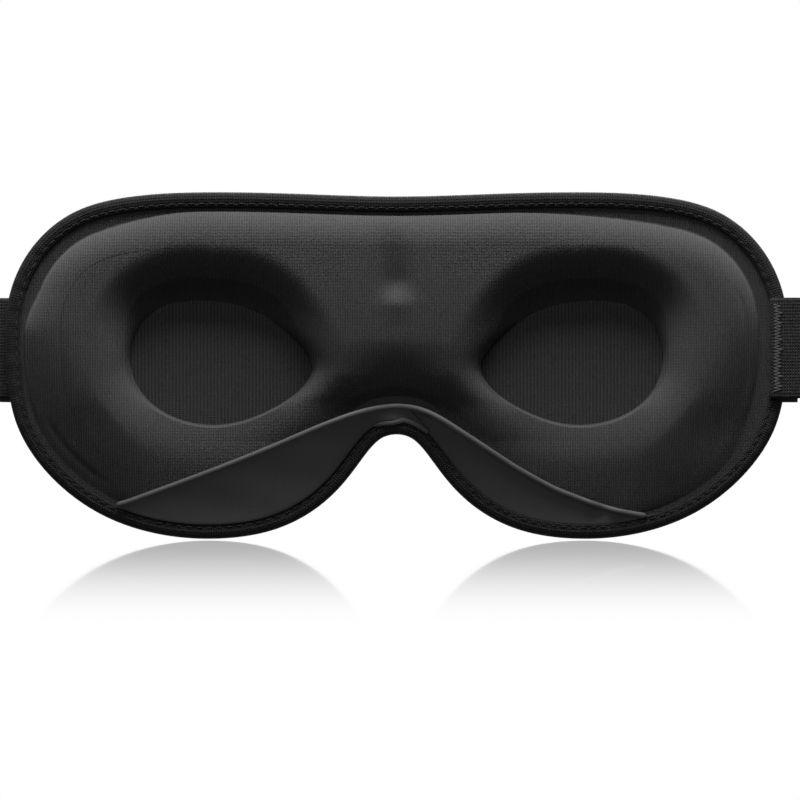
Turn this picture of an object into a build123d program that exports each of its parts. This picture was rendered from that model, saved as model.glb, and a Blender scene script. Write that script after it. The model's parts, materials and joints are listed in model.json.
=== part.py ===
"""Contoured sleep eye mask with a nose flap and an adjustable elastic head strap.

The mask stands upright: +Z is up towards the forehead, +X is to the right of someone who looks at
the face side, and the face side looks along -Y. The origin is the point on the pad's crest plane,
midway between the eye cups, at the height of the strap's centre line. Sizes are in millimetres.
"""

import functools
import os

import numpy as np
from build123d import *

# ---- rim ----
HALF_WIDTH = 117.5
WRAP_SAG = 7.0  # how far both ends curve towards the face
RIM_HALF = [  # right half of the outline as (x, z), from the top centre round to the nose notch
    (0.0, 45.9), (30.0, 46.7), (58.0, 47.1), (80.9, 45.6), (97.4, 40.8), (110.7, 28.8),
    (116.7, 14.5), (117.4, -4.0), (114.2, -23.0), (104.3, -38.4), (88.4, -50.4), (70.0, -56.4),
    (52.0, -57.4), (36.0, -54.5), (24.5, -48.6), (16.0, -40.8), (10.2, -33.0), (5.6, -28.0),
]
RIM_SAMPLES = 80
OUTLINE_REFINE = 8

# ---- layers, as distances along Y from the wrapped crest surface ----
BINDING_FRONT = 7.1
FLANGE_FRONT = 7.9
LINER_FRONT = 9.0
LINER_THICK = 0.4
SHELL_THICK = 1.8
BINDING_BACK = 12.0
DOME_RISE = 5.0  # how far the layers bulge outwards behind each eye cup
DOME_FLAT = 2.0  # the dome is level this far outside the cup floor
DOME_FALL = 16.0  # and then falls away over this width
GRID_STEP = 5.0
GRID_X = 122.5
GRID_Z = (-62.5, 52.5)
SURFACE_TOL = 0.05
HALF_SPACE = 90.0  # how far the space before or behind a surface reaches
PRISM_Y = (-40.0, 60.0)

# ---- binding, insets from the outline ----
BINDING_WIDTH = 4.6
LAYER_INSET = 0.9
THREAD_INSET = 3.5
THREAD_WIDTH = 0.5
THREAD_PROUD = 0.25
CHANNEL_GAP = 0.35  # free space between the shell and the binding behind it

# ---- pad ----
PAD_INSET = 6.0
PAD_ROUND = 5.0
CREST_EDGE_Y = -1.0  # an edge on the crest reaches past this
CREST_EDGE_LENGTH = 100.0  # and is longer than this
RIM_EDGE_LENGTH = 400.0  # the one round the rim is longer than this
EDGE_MATCH = 1.0
SKIN = 0.6
NOSE_HOLLOW = 3.0
NOSE_HOLLOW_WIDTH = 14.0
NOSE_HOLLOW_TOP = -8.0
NOSE_HOLLOW_SOFT = 6.0
CREASE_RADIUS = 6.0  # upright crease above the nose bridge
CREASE_DEPTH = 1.2
CREASE_Z = (17.0, 33.0)

# ---- eye cups, right side ----
EYE_FLOOR = [
    (25.6, -6.0), (41.0, 9.8), (60.0, 13.8), (75.0, 9.6),
    (80.4, -1.5), (75.5, -15.0), (59.0, -22.8), (41.0, -19.8),
]
EYE_CENTRE = (54.0, -4.0)
EYE_SAMPLES = 40
CUP_WALL_TOP = 15.0
CUP_WALL_BOTTOM = 6.0
CUP_WALL_OUTER = 11.0
CUP_WALL_NOSE = 8.0
CUP_ROUND = 4.0
CUP_CUT_FRONT = -8.0
CUP_CUT_PAST = 1.0  # the cut goes this far past the deepest layer
FLOOR_THICK = 1.2
FLOOR_GAP = 0.4

# ---- nose flap ----
FLAP_EDGE = [  # free edge as (x, z), from the left wing's tip to the right wing's tip
    (-84.5, -47.6), (-52.0, -35.1), (-23.3, -23.1), (-6.5, -18.0), (1.0, -17.1),
    (12.5, -20.4), (35.6, -35.4), (58.4, -46.3), (78.5, -51.2),
]
FLAP_SEWN_INSET = 4.7
FLAP_BACK = -1.0  # distance along Y of the flap's back, in front of the pad's crest
FLAP_LINING = 0.4
FLAP_PANEL = 0.5
FLAP_HEM_WIDTH = 1.4
FLAP_HEM_PROUD = 0.3
FLAP_SPLIT_X = 2.0
FLAP_SPLIT_GAP = 0.2
FLAP_Z = (-70.0, 20.0)  # the flap lies well within these heights

# ---- strap ----
STRAP_WIDTH = 30.0
STRAP_THICK = 1.4
STRAP_END_X = (112.0, 120.8)
STRAP_START_X = 121.1
STRAP_PLY = 1.2
PLY_GAP = 0.2
BACKING_THICK = 0.8
BACKING_Z = (-16.2, 13.0)
BACK_RUN_Y = 67.3
TACK_WIDTH = 1.8
TACK_HEIGHT = 25.0
TACK_THICK = 0.35
TACK_X = 114.9
HEM_TACK_OFFSET = 2.7  # from the hem's end
LOOP_TACK_OFFSET = 11.9  # from the right bar

# ---- slider ----
SLIDER_X = 45.0
BAR_PITCH = 9.0
BAR_WIDTH = 3.0
BAR_THICK = 2.0
BAR_Y = 71.1
SLOT_HEIGHT = 31.2
RAIL_WIDTH = 3.0
SLIDER_CORNER = 2.4
BAR_EDGE_ROUND = 0.6
BAR_CLEARANCE = 0.3
LEG_Y = (69.1, 73.1)  # centre lines of the strap below and above the bars
LOOP_LENGTH = 17.0
TAIL_END_X = -6.0
TAIL_GAP = 0.6
TAIL_HEM_LENGTH = 9.0
STRAP_END_GAP = 1.0


# ---- curves and surfaces ----
def smooth_loop(points, count):
    """Closed cubic spline through the points, by arc parameter, as count even samples."""
    knots = np.array(points, float)
    size = len(knots)
    after = np.roll(knots, -1, 0)
    span = np.linalg.norm(after - knots, axis=1)
    before = np.roll(span, 1)
    rows = np.arange(size)
    matrix = np.zeros((size, size))
    matrix[rows, rows] = 2 * (span + before)
    matrix[rows, (rows + 1) % size] = span
    matrix[rows, rows - 1] = before
    slope = (after - knots) / span[:, None]
    bend = np.linalg.solve(matrix, 6 * (slope - np.roll(slope, 1, 0)))
    start = np.concatenate([[0.0], np.cumsum(span)])
    place = np.linspace(0, start[-1], count, endpoint=False)
    k = np.searchsorted(start, place, side="right") - 1
    n = (k + 1) % size
    h = span[k]
    a = (start[k + 1] - place) / h
    b = 1 - a
    curve = ((a**3 - a) * h**2 / 6)[:, None] * bend[k] + ((b**3 - b) * h**2 / 6)[:, None] * bend[n]
    return a[:, None] * knots[k] + b[:, None] * knots[n] + curve


def rim(inset, count=RIM_SAMPLES):
    """The mask's outline moved inwards, as samples (x, z)."""
    half = np.array(RIM_HALF)
    knots = np.vstack([half, half[:0:-1] * (-1, 1)])
    fine = smooth_loop(knots, count * OUTLINE_REFINE)
    along = np.roll(fine, -1, 0) - np.roll(fine, 1, 0)
    along /= np.linalg.norm(along, axis=1)[:, None]
    inward = np.stack([along[:, 1], -along[:, 0]], 1)
    return (fine + inset * inward)[::OUTLINE_REFINE]


def gap_to(loop, x, z):
    """Signed distance from each grid point to a closed outline, positive inside it."""
    ahead = np.roll(loop, -1, 0) - np.roll(loop, 1, 0)
    turn = np.sign(np.sum(loop[:, 0] * np.roll(loop[:, 1], -1) - np.roll(loop[:, 0], -1) * loop[:, 1]))
    inward = turn * np.stack([-ahead[:, 1], ahead[:, 0]], 1)
    arm = np.stack([x, z], -1)[..., None, :] - loop
    reach = np.linalg.norm(arm, axis=-1)
    nearest = reach.argmin(-1)
    near_arm = np.take_along_axis(arm, nearest[..., None, None], -2)[..., 0, :]
    side = np.sign(np.sum(near_arm * inward[nearest], -1))
    return side * reach.min(-1)


def eye_loop(widen, side):
    """The cup floor's outline, widened by a share of the cup wall and an even margin."""
    share, margin = widen
    loop = smooth_loop(EYE_FLOOR, EYE_SAMPLES)
    arm = loop - EYE_CENTRE
    reach = np.linalg.norm(arm, axis=1)
    across, up = (arm / reach[:, None]).T
    flat_wall = np.where(across > 0, CUP_WALL_OUTER, CUP_WALL_NOSE)
    steep_wall = np.where(up > 0, CUP_WALL_TOP, CUP_WALL_BOTTOM)
    wall = flat_wall * across**2 + steep_wall * up**2
    wider = arm * (1 + (share * wall + margin) / reach)[:, None] + EYE_CENTRE
    return wider * (side, 1)


def wrap(x):
    """How far the crest surface bends towards the face at x."""
    return -WRAP_SAG * (x / HALF_WIDTH) ** 2


def smooth_step(t):
    """Rises from 0 to 1 as t goes from 0 to 1, level at both ends."""
    t = np.clip(t, 0.0, 1.0)
    return t * t * (3 - 2 * t)


def dome(x, z):
    """1 behind an eye cup, falling to 0 around it."""
    gap = -gap_to(eye_loop((0.0, 0.0), 1), abs(x), z)
    return 1 - smooth_step((gap - DOME_FLAT) / DOME_FALL)


def rim_level(x, z):
    """The wrapped crest surface itself."""
    return wrap(x) + 0 * z


def layer_level(x, z):
    """Front of the liner: wrapped, and domed behind the cups."""
    return wrap(x) + LINER_FRONT + DOME_RISE * dome(x, z)


def crest_level(x, z):
    """Front of the pad: wrapped, with a hollow over the nose."""
    hollow = np.exp(-((x / NOSE_HOLLOW_WIDTH) ** 2))
    return wrap(x) + NOSE_HOLLOW * hollow / (1 + np.exp((z - NOSE_HOLLOW_TOP) / NOSE_HOLLOW_SOFT))


@functools.cache
def surface(level, shift=0.0, step=GRID_STEP):
    """Smooth face through a grid of level(x, z), moved along Y by shift."""
    xs = np.arange(-GRID_X, GRID_X + step / 2, step)
    zs = np.arange(GRID_Z[0], GRID_Z[1] + step / 2, step)
    x, z = np.meshgrid(xs, zs)
    y = level(x, z) + shift
    rows = [[Vector(*point) for point in row] for row in np.stack([x, y, z], -1).tolist()]
    return Face.make_surface_from_array_of_points(rows, tol=SURFACE_TOL, min_deg=3, max_deg=3)


def behind(face):
    """Everything on the +Y side of a surface."""
    return Solid.extrude(face, Vector(0, HALF_SPACE, 0))


def before(face):
    """Everything on the -Y side of a surface."""
    return Solid.extrude(face, Vector(0, -HALF_SPACE, 0))


def loop_wire(loop, y):
    """Closed smooth wire through (x, z) samples at the height y."""
    return Wire([Edge.make_spline([Vector(x, y, z) for x, z in loop], periodic=True)])


def prism(loop):
    """Straight prism along Y with a closed outline."""
    return Solid.extrude(Face(loop_wire(loop, PRISM_Y[0])), Vector(0, PRISM_Y[1] - PRISM_Y[0], 0))


def block(x, y, z):
    """Box between two limits on each axis."""
    size = [b - a for a, b in (x, y, z)]
    middle = [(a + b) / 2 for a, b in (x, y, z)]
    return Pos(*middle) * Box(*size)


# ---- mask body ----
def cup_cut(side, margin):
    """Tapered space of one eye cup, made smaller all round by margin."""
    floor_y = LINER_FRONT + DOME_RISE + CUP_CUT_PAST
    share = (floor_y - CUP_CUT_FRONT) / floor_y
    mouth = loop_wire(eye_loop((share, margin), side), CUP_CUT_FRONT)
    floor = loop_wire(eye_loop((0.0, margin), side), floor_y)
    return Solid.make_loft([mouth, floor], ruled=True)


def round_edge(solid, edge, radius):
    """Fillets the edge of solid that matches edge in length and place."""
    def same(e):
        apart = (e.center() - edge.center()).length
        return abs(e.length - edge.length) < EDGE_MATCH and apart < EDGE_MATCH

    return solid.fillet(radius, [e for e in solid.edges() if same(e)])


def foam_pad():
    """Moulded memory-foam cushion with an opening for each eye and a crease over the nose."""
    form = prism(rim(PAD_INSET + SKIN)) & behind(surface(crest_level, SKIN))
    form = form & before(surface(layer_level))
    for side in (-1, 1):
        form = form - cup_cut(side, SKIN)
    solid = form.solids()[0]
    long_edges = [e for e in solid.edges() if e.length > CREST_EDGE_LENGTH]
    for edge in [e for e in long_edges if e.bounding_box().min.Y < CREST_EDGE_Y]:
        radius = PAD_ROUND if edge.length > RIM_EDGE_LENGTH else CUP_ROUND
        solid = round_edge(solid, edge, radius)
    low, high = CREASE_Z
    groove = Pos(0, CREASE_DEPTH + SKIN - CREASE_RADIUS, (low + high) / 2)
    return solid - groove * Cylinder(CREASE_RADIUS, high - low)


def face_fabric():
    """Jersey skin: one piece over the cushion's crest, one on the flat flange round it."""
    crest = prism(rim(PAD_INSET)) & behind(surface(crest_level))
    crest = crest & before(surface(crest_level, SKIN))
    for side in (-1, 1):
        crest = crest - cup_cut(side, 0.0)
    flange = prism(rim(LAYER_INSET)) - prism(rim(PAD_INSET))
    flange = flange & behind(surface(rim_level, FLANGE_FRONT))
    flange = flange & before(surface(layer_level))
    return Compound(children=[*crest.solids(), *flange.solids()])


def cup_floor(side):
    """Flat fabric panel at the bottom of one eye cup."""
    plate = prism(eye_loop((0.0, -FLOOR_GAP), side)) & behind(surface(layer_level, -FLOOR_THICK))
    return plate & before(surface(layer_level))


def sheet_layer(front, thick):
    """One full-size layer of the mask between two parallel domed surfaces."""
    layer = prism(rim(LAYER_INSET)) & behind(surface(layer_level, front))
    return layer & before(surface(layer_level, front + thick))


def edge_binding():
    """Elastic tape folded over the rim, with the layers in its channel."""
    ring = prism(rim(0.0)) - prism(rim(BINDING_WIDTH))
    ring = ring & behind(surface(rim_level, BINDING_FRONT)) & before(surface(rim_level, BINDING_BACK))
    channel = prism(rim(LAYER_INSET)) & behind(surface(rim_level, FLANGE_FRONT))
    back = LINER_FRONT + LINER_THICK + SHELL_THICK + CHANNEL_GAP
    return ring - (channel & before(surface(rim_level, back)))


def binding_thread():
    """Sewing thread round the binding, close to its inner edge."""
    ring = prism(rim(THREAD_INSET)) - prism(rim(THREAD_INSET + THREAD_WIDTH))
    ring = ring & behind(surface(rim_level, BINDING_FRONT - THREAD_PROUD))
    return ring & before(surface(rim_level, BINDING_FRONT))


# ---- nose flap ----
def flap_region(trim):
    """Prism of the flap: inside the sewn line and below the free edge lowered by trim."""
    near, far = PRISM_Y
    edge = Edge.make_spline([Vector(x, near, z - trim) for x, z in FLAP_EDGE])
    (x0, z0), (x1, z1) = FLAP_EDGE[0], FLAP_EDGE[-1]
    corners = [(x0, z0 - trim), (x0, FLAP_Z[0]), (x1, FLAP_Z[0]), (x1, z1 - trim)]
    sides = [Edge.make_line(Vector(a, near, b), Vector(c, near, d))
             for (a, b), (c, d) in zip(corners, corners[1:])]
    below = Solid.extrude(Face(Wire([edge, *sides])), Vector(0, far - near, 0))
    return prism(rim(FLAP_SEWN_INSET)) & below


def flap_ply(region, front, back):
    """Part of the flap between two distances behind its back surface."""
    ply = region & behind(surface(rim_level, FLAP_BACK + front))
    return ply & before(surface(rim_level, FLAP_BACK + back))


def flap_panel(side):
    """Face ply of one wing."""
    ply = flap_ply(flap_region(FLAP_HEM_WIDTH), -FLAP_LINING - FLAP_PANEL, -FLAP_LINING)
    edge = FLAP_SPLIT_X + side * FLAP_SPLIT_GAP / 2
    limits = sorted((edge, side * HALF_WIDTH))
    return ply & block(limits, PRISM_Y, FLAP_Z)


def flap_hem():
    """Folded hem along the free edge, thicker than the plies that it holds."""
    strip = flap_region(0.0) - flap_region(FLAP_HEM_WIDTH)
    return flap_ply(strip, -FLAP_LINING - FLAP_PANEL - FLAP_HEM_PROUD, 0.0)


# ---- strap ends, sewn to the mask ----
def end_levels():
    """Distances along Y of the binding's front and back where the strap crosses it."""
    bend = wrap(STRAP_END_X[0])
    return wrap(TACK_X) + BINDING_FRONT, bend + BINDING_BACK


def strap_end(side):
    """Sewn end of the strap: over the binding at the right, behind it at the left."""
    front, back = end_levels()
    y = (front - PLY_GAP * 2 - STRAP_PLY, front - PLY_GAP * 2)
    if side < 0:
        y = (back + PLY_GAP, back + PLY_GAP + STRAP_PLY)
    x = sorted(side * v for v in STRAP_END_X)
    return block(x, y, (-STRAP_WIDTH / 2, STRAP_WIDTH / 2))


def strap_backing(side):
    """Smooth reinforcing ply behind the rim at one strap end."""
    y0 = end_levels()[1] + PLY_GAP
    if side < 0:
        y0 += STRAP_PLY + PLY_GAP
    x = sorted(side * v for v in STRAP_END_X)
    return block(x, (y0, y0 + BACKING_THICK), BACKING_Z)


def strap_tack(side):
    """Bar of zigzag thread that holds one strap end."""
    end = strap_end(side).bounding_box()
    y = (end.min.Y - TACK_THICK, end.min.Y)
    if side < 0:
        outer = strap_backing(side).bounding_box().max.Y
        y = (outer, outer + TACK_THICK)
    x = sorted((side * TACK_X, side * (TACK_X + TACK_WIDTH)))
    return block(x, y, (-TACK_HEIGHT / 2, TACK_HEIGHT / 2))


# ---- strap loop ----
def hairpin(turn_x, side, levels, lengths):
    """Flat strap standing on edge: a leg at each level along Y, joined by a half turn.

    The turn starts at turn_x and bulges towards side; each leg's length is measured back from it.
    """
    half = STRAP_THICK / 2
    low, high = levels
    middle = (low + high) / 2
    radius = (high - low) / 2
    near = turn_x - side * lengths[0]
    far = turn_x - side * lengths[1]
    edges = []
    for grow in (half, -half):
        start = Vector(turn_x, low - grow, 0)
        tip = Vector(turn_x + side * (radius + grow), middle, 0)
        end = Vector(turn_x, high + grow, 0)
        edges.append(Edge.make_three_point_arc(start, tip, end))
        if lengths[0]:
            edges.append(Edge.make_line(Vector(near, low - grow, 0), start))
        if lengths[1]:
            edges.append(Edge.make_line(end, Vector(far, high + grow, 0)))
    for x, y in ((near, low), (far, high)):
        edges.append(Edge.make_line(Vector(x, y - half, 0), Vector(x, y + half, 0)))
    face = Face(Wire(edges))
    return Pos(0, 0, -STRAP_WIDTH / 2) * Solid.extrude(face, Vector(0, 0, STRAP_WIDTH))


def strap_half(side, end_x):
    """One half of the loop: out from the mask, round its lobe and along the back run."""
    start_y = strap_end(side).center().Y
    run = abs(side * STRAP_START_X - end_x)
    return hairpin(side * STRAP_START_X, side, (start_y, BACK_RUN_Y), (0.0, run))


def strap_left():
    """Left half of the strap, which passes under the slider's bars."""
    return strap_half(-1, SLIDER_X + BAR_WIDTH / 2)


def strap_right():
    """Right half of the strap, up to the loop sewn on the slider's right bar."""
    return strap_half(1, SLIDER_X + BAR_PITCH + LOOP_LENGTH + STRAP_END_GAP)


# ---- slider ----
def slider_frame():
    """Three-bar slider: two slots between three upright bars."""
    half_x = BAR_PITCH + BAR_WIDTH / 2
    half_z = SLOT_HEIGHT / 2 + RAIL_WIDTH
    plate = Pos(SLIDER_X, BAR_Y, 0) * Box(2 * half_x, BAR_THICK, 2 * half_z)
    plate = fillet(plate.edges().filter_by(Axis.Y), SLIDER_CORNER)
    slot = Box(BAR_PITCH - BAR_WIDTH, BAR_THICK * 2, SLOT_HEIGHT)
    for side in (-1, 1):
        plate = plate - Pos(SLIDER_X + side * BAR_PITCH / 2, BAR_Y, 0) * slot
    return fillet(plate.edges().filter_by(Axis.Z), BAR_EDGE_ROUND)


def round_bar(bar_x, side, lengths):
    """Strap folded round a bar of the slider, with a leg below it and a leg above it."""
    radius = (LEG_Y[1] - LEG_Y[0]) / 2
    turn_x = bar_x + side * (BAR_WIDTH / 2 + BAR_CLEARANCE + STRAP_THICK / 2 - radius)
    return hairpin(turn_x, side, LEG_Y, lengths)


def strap_fold():
    """The left strap's turn round the middle bar."""
    return round_bar(SLIDER_X, 1, (BAR_WIDTH, BAR_PITCH + BAR_WIDTH))


def strap_bar_loop():
    """The right strap's end, folded round the right bar and sewn back on itself."""
    return round_bar(SLIDER_X + BAR_PITCH, -1, (LOOP_LENGTH, LOOP_LENGTH))


def bar_loop_tack():
    """Bar of thread across the sewn loop, on its outer face."""
    x = SLIDER_X + BAR_PITCH + LOOP_TACK_OFFSET
    y = LEG_Y[1] + STRAP_THICK / 2
    half = TACK_HEIGHT / 2
    return block((x, x + TACK_WIDTH), (y, y + TACK_THICK), (-half, half))


# ---- strap tail ----
def tail_start():
    """Where the tail leaves the fold, at the left of the slider."""
    return strap_fold().bounding_box().min.X - TAIL_GAP


def tail_band():
    """Free end of the left strap, lying over the back run."""
    y = (LEG_Y[1] - STRAP_THICK / 2, LEG_Y[1] + STRAP_THICK / 2)
    return block((TAIL_END_X, tail_start()), y, (-STRAP_WIDTH / 2, STRAP_WIDTH / 2))


def tail_hem():
    """Second ply at the tip of the tail, where its end is turned over."""
    y = LEG_Y[1] + STRAP_THICK / 2
    half = STRAP_WIDTH / 2
    return block((TAIL_END_X, TAIL_END_X + TAIL_HEM_LENGTH), (y, y + STRAP_PLY), (-half, half))


def tail_tack():
    """Thread bar that closes the tail's hem."""
    x = TAIL_END_X + TAIL_HEM_LENGTH - HEM_TACK_OFFSET
    y = LEG_Y[1] + STRAP_THICK / 2 + STRAP_PLY
    half = TACK_HEIGHT / 2
    return block((x, x + TACK_WIDTH), (y, y + TACK_THICK), (-half, half))


def parts():
    """Every node's name and solid."""
    shell_front = LINER_THICK
    return {
        "outer_shell": sheet_layer(shell_front, SHELL_THICK),
        "blackout_liner": sheet_layer(0.0, LINER_THICK),
        "foam_pad": foam_pad(),
        "face_fabric": face_fabric(),
        "cup_floor_left": cup_floor(-1),
        "cup_floor_right": cup_floor(1),
        "edge_binding": edge_binding(),
        "binding_thread": binding_thread(),
        "strap_end_left": strap_end(-1),
        "strap_end_right": strap_end(1),
        "strap_backing_left": strap_backing(-1),
        "strap_backing_right": strap_backing(1),
        "strap_tack_left": strap_tack(-1),
        "strap_tack_right": strap_tack(1),
        "flap_panel_left": flap_panel(-1),
        "flap_panel_right": flap_panel(1),
        "flap_lining": flap_ply(flap_region(FLAP_HEM_WIDTH), -FLAP_LINING, 0.0),
        "flap_hem": flap_hem(),
        "strap_left": strap_left(),
        "strap_right": strap_right(),
        "slider_frame": slider_frame(),
        "strap_fold": strap_fold(),
        "strap_bar_loop": strap_bar_loop(),
        "bar_loop_tack": bar_loop_tack(),
        "tail_band": tail_band(),
        "tail_hem": tail_hem(),
        "tail_tack": tail_tack(),
    }


os.makedirs("parts", exist_ok=True)
for name, solid in parts().items():
    export_step(solid, f"parts/{name}.step")
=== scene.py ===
"""Looks of a contoured sleep mask: padded cups, bound rim, nose flap and elastic head strap.

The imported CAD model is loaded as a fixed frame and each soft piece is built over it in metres, in
the same frame: +Z is up, +X is right when facing the padded side, and that side looks along -Y.
"""

import json
import logging
from dataclasses import dataclass, field
from enum import Enum
from typing import Any, Sequence

import bpy
import bmesh
import numpy as np
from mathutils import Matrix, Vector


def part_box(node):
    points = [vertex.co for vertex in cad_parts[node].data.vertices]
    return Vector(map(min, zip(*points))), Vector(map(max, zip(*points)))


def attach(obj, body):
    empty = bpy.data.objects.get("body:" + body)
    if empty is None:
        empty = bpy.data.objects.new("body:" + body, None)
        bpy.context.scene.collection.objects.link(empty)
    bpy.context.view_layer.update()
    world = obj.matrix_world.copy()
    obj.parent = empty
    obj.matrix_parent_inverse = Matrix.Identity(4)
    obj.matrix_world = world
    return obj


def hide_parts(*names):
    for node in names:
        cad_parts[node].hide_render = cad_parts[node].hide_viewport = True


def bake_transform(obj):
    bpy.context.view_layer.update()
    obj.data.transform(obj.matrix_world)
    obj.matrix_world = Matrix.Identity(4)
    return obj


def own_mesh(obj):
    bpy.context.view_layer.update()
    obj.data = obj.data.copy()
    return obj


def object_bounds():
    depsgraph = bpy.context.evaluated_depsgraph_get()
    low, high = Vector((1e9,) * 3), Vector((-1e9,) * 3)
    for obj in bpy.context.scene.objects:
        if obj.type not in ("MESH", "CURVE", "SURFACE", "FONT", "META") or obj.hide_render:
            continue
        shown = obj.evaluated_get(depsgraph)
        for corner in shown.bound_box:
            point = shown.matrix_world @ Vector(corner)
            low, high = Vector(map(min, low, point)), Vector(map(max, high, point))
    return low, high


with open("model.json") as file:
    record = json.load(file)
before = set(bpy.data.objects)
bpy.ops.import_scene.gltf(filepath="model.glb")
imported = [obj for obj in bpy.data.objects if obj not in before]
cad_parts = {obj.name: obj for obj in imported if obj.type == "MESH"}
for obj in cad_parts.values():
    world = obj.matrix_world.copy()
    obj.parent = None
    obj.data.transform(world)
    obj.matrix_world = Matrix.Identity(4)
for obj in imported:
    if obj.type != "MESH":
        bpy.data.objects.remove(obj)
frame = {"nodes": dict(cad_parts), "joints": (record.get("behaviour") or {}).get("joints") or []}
CAD_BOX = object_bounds()

LOG = logging.getLogger("sleep_mask")
MM = 0.001
Array = np.ndarray
Point = tuple[float, float, float]
WHITE = (1, 1, 1, 1)


class Side(Enum):
    """Left or right half of the mask; the value is the sign of X."""

    LEFT = -1
    RIGHT = 1


# ---------------------------------------------------------------- shader helpers


class Socket:
    """A shader socket that adds Math nodes when it is used in an expression."""

    def __init__(self, tree: bpy.types.NodeTree, socket: bpy.types.NodeSocket) -> None:
        """Wraps one output socket of a node tree."""
        self.tree = tree
        self.socket = socket

    def _math(self, operation: str, *values: Any) -> "Socket":
        """Adds one Math node fed by the values."""
        node = self.tree.nodes.new("ShaderNodeMath")
        node.operation = operation
        for entry, value in zip(node.inputs, values):
            if isinstance(value, Socket):
                self.tree.links.new(value.socket, entry)
            else:
                entry.default_value = value
        return Socket(self.tree, node.outputs[0])

    def __add__(self, other: Any) -> "Socket":
        """self + other."""
        return self._math("ADD", self, other)

    def __sub__(self, other: Any) -> "Socket":
        """self - other."""
        return self._math("SUBTRACT", self, other)

    def __mul__(self, other: Any) -> "Socket":
        """self * other."""
        return self._math("MULTIPLY", self, other)

    def __truediv__(self, other: Any) -> "Socket":
        """self / other."""
        return self._math("DIVIDE", self, other)

    def __rsub__(self, other: Any) -> "Socket":
        """other - self."""
        return self._math("SUBTRACT", other, self)

    def __pow__(self, other: Any) -> "Socket":
        """self to the power of other."""
        return self._math("POWER", self, other)

    __radd__ = __add__
    __rmul__ = __mul__

    def sine(self) -> "Socket":
        """The sine of the value, in radians."""
        return self._math("SINE", self)

    def most(self, other: Any) -> "Socket":
        """The larger of two values."""
        return self._math("MAXIMUM", self, other)

    def above(self, limit: float) -> "Socket":
        """1 where the value is above the limit, else 0."""
        return self._math("GREATER_THAN", self, limit)


class Dress:
    """Builds one node material around a Principled shader."""

    def __init__(self, name: str) -> None:
        """Starts an empty material of that name."""
        self.material = bpy.data.materials.new(name)
        self.material.use_nodes = True
        self.tree = self.material.node_tree
        self.tree.nodes.clear()
        self.shader = self.tree.nodes.new("ShaderNodeBsdfPrincipled")
        output = self.tree.nodes.new("ShaderNodeOutputMaterial")
        self.tree.links.new(self.shader.outputs[0], output.inputs[0])

    def node(self, kind: str, settings: dict[str, Any] | None = None,
             sockets: dict[Any, Any] | None = None, output: Any = 0) -> Socket:
        """Adds a node: its settings first, then its sockets.

        Args:
            kind: the node's type name.
            settings: properties of the node, such as an operation.
            sockets: value or link for each input, by name or number.
            output: which output to return.

        Returns:
            The chosen output.
        """
        node = self.tree.nodes.new(kind)
        for key, value in (settings or {}).items():
            setattr(node, key, value)
        for key, value in (sockets or {}).items():
            self._feed(node.inputs[key], value)
        return Socket(self.tree, node.outputs[output])

    def _feed(self, entry: bpy.types.NodeSocket, value: Any) -> None:
        """Links or sets one input."""
        if isinstance(value, Socket):
            self.tree.links.new(value.socket, entry)
        else:
            entry.default_value = value

    def place(self, kind: str) -> tuple[Socket, Socket, Socket]:
        """The three parts of a texture coordinate, Object or UV."""
        where = self.node("ShaderNodeTexCoord", output=kind)
        split = self.tree.nodes.new("ShaderNodeSeparateXYZ")
        self.tree.links.new(where.socket, split.inputs[0])
        return tuple(Socket(self.tree, out) for out in split.outputs)

    def noise(self, kind: str, scale: float, detail: float = 2.0,
              stretch: Point = (1, 1, 1)) -> Socket:
        """Noise of that scale on Object or UV coordinates, stretched per axis."""
        where = self.node("ShaderNodeTexCoord", output=kind)
        mapped = self.node("ShaderNodeMapping", sockets={"Vector": where, "Scale": stretch})
        return self.node("ShaderNodeTexNoise",
                         sockets={"Vector": mapped, "Scale": scale, "Detail": detail})

    def tones(self, factor: Socket, dark: Sequence[float], light: Sequence[float]) -> Socket:
        """Mixes two colours by a factor."""
        return self.node("ShaderNodeMix", {"data_type": "RGBA"},
                         {0: factor, 6: (*dark, 1), 7: (*light, 1)}, output=2)

    def finish(self, colour: Socket, roughness: Any, height: Socket, depth: float,
               constants: dict[str, Any], sunk: bool = False) -> bpy.types.Material:
        """Feeds the shader and returns the material.

        Args:
            colour: the base colour.
            roughness: a number or a socket.
            height: bump height from 0 to 1.
            depth: the bump's distance in metres.
            constants: numbers set on the shader's own sockets.
            sunk: the relief is pressed into the surface and doesn't stand on it.

        Returns:
            The finished material.
        """
        bump = self.node("ShaderNodeBump", {"invert": sunk}, {"Height": height, "Distance": depth})
        self._feed(self.shader.inputs["Base Color"], colour)
        self._feed(self.shader.inputs["Roughness"], roughness)
        self._feed(self.shader.inputs["Normal"], bump)
        for key, value in constants.items():
            self.shader.inputs[key].default_value = value
        return self.material


def grey(value: float, warmth: float = 0.0) -> Point:
    """A near-neutral colour, bluer as warmth falls."""
    return (value * (1 + warmth), value, value * (1 - warmth + 0.03))


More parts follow.
